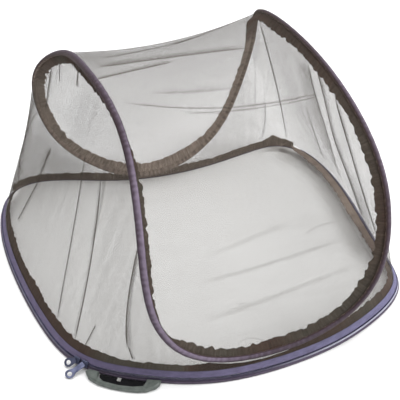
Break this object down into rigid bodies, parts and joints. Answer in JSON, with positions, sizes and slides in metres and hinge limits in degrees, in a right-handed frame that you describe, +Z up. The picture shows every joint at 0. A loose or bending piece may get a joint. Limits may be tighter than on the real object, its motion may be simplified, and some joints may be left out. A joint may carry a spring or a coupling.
{
  "type": "pop-up travel mosquito net",
  "caption": "Pop-up travel mosquito net: zipped fabric base on a spring hoop, with net panels on a saddle-bent canopy hoop",
  "frame": {"origin": "on the floor, at the flat underside of the base mat, under the middle of the net", "axes": "+Z up; -Y is the front, where the zip and the carry handle are; +X is to the right seen from the front"},
  "size_m": [0.703, 0.6873, 0.4123],
  "materials": {
    "white_cloth": "matte woven",
    "purple_binding": "matte woven tape",
    "lavender_tape": "matte woven tape",
    "zip_coil": "satin",
    "taupe_band": "matte gathered net",
    "fine_net": "sheer mesh",
    "grey_plastic": "satin",
    "black_plastic": "matte",
    "slider_metal": "satin"
  },
  "bodies": {
    "root": {"base_mat": "white_cloth", "base_hoop_casing": "purple_binding", "canopy_hoop_casing": "purple_binding", "zip_tape_lower": "lavender_tape", "zip_tape_upper": "lavender_tape", "zip_coil": "zip_coil", "base_ruffle": "taupe_band", "hinge_ruffle": "taupe_band", "canopy_ruffle": "taupe_band", "net_top": "fine_net", "net_left": "fine_net", "net_right": "fine_net", "handle_grip": "grey_plastic", "handle_plate": "black_plastic", "handle_clip": "slider_metal", "zip_slider_a": "slider_metal", "zip_slider_b": "slider_metal", "zip_pull_a": "slider_metal", "zip_pull_b": "slider_metal"}
  },
  "joints": []
}
